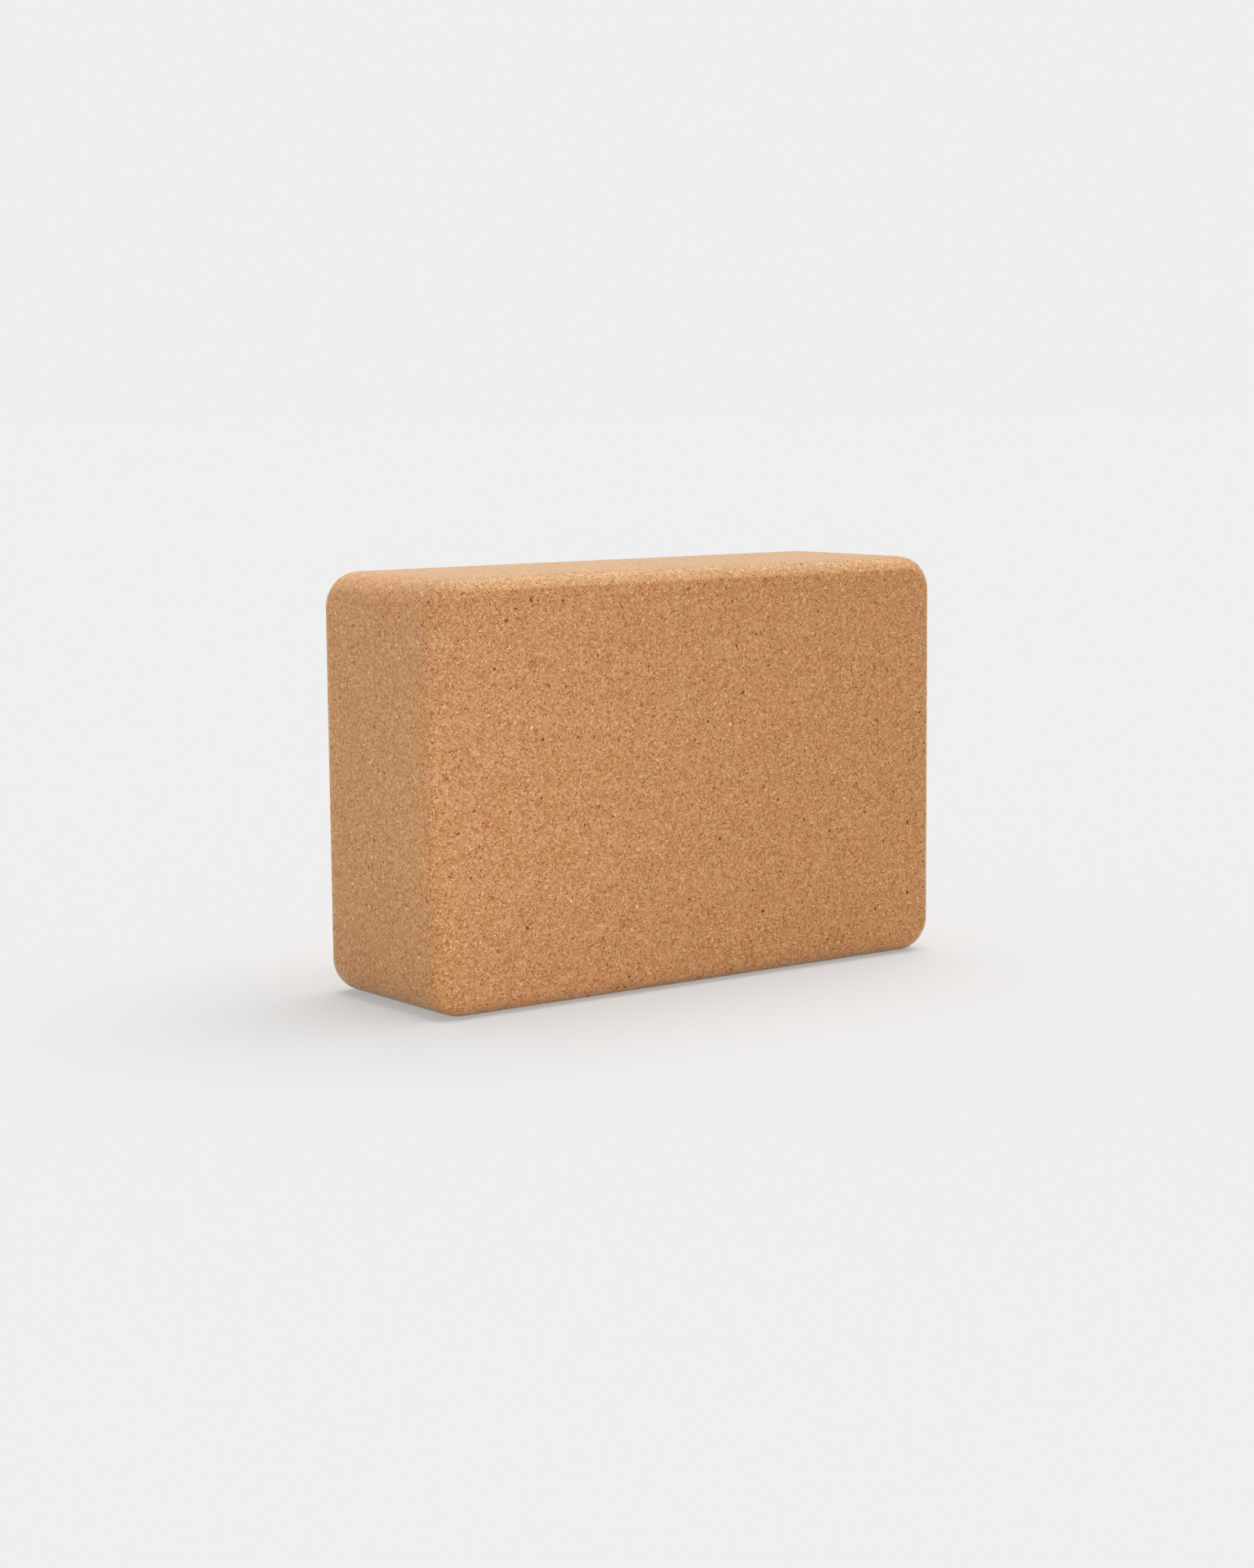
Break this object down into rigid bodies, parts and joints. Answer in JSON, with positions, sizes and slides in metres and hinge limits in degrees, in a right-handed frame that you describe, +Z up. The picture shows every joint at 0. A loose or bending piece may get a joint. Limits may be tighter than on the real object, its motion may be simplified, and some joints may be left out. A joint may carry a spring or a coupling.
{
  "type": "yoga block",
  "caption": "Rectangular cork yoga block with rounded corners and softly bevelled edges, laid flat or stood on a side or an end to support a hand, foot or seat.",
  "frame": {"origin": "middle of the underside, the long narrow side that the block stands on in the picture", "axes": "+X along the length, +Y through the thickness from the front broad face to the back one, +Z up"},
  "size_m": [0.228, 0.076, 0.152],
  "materials": {
    "cork": "matt, sanded section through bonded cork granules"
  },
  "bodies": {
    "root": {"cork_block": "cork"}
  },
  "joints": []
}
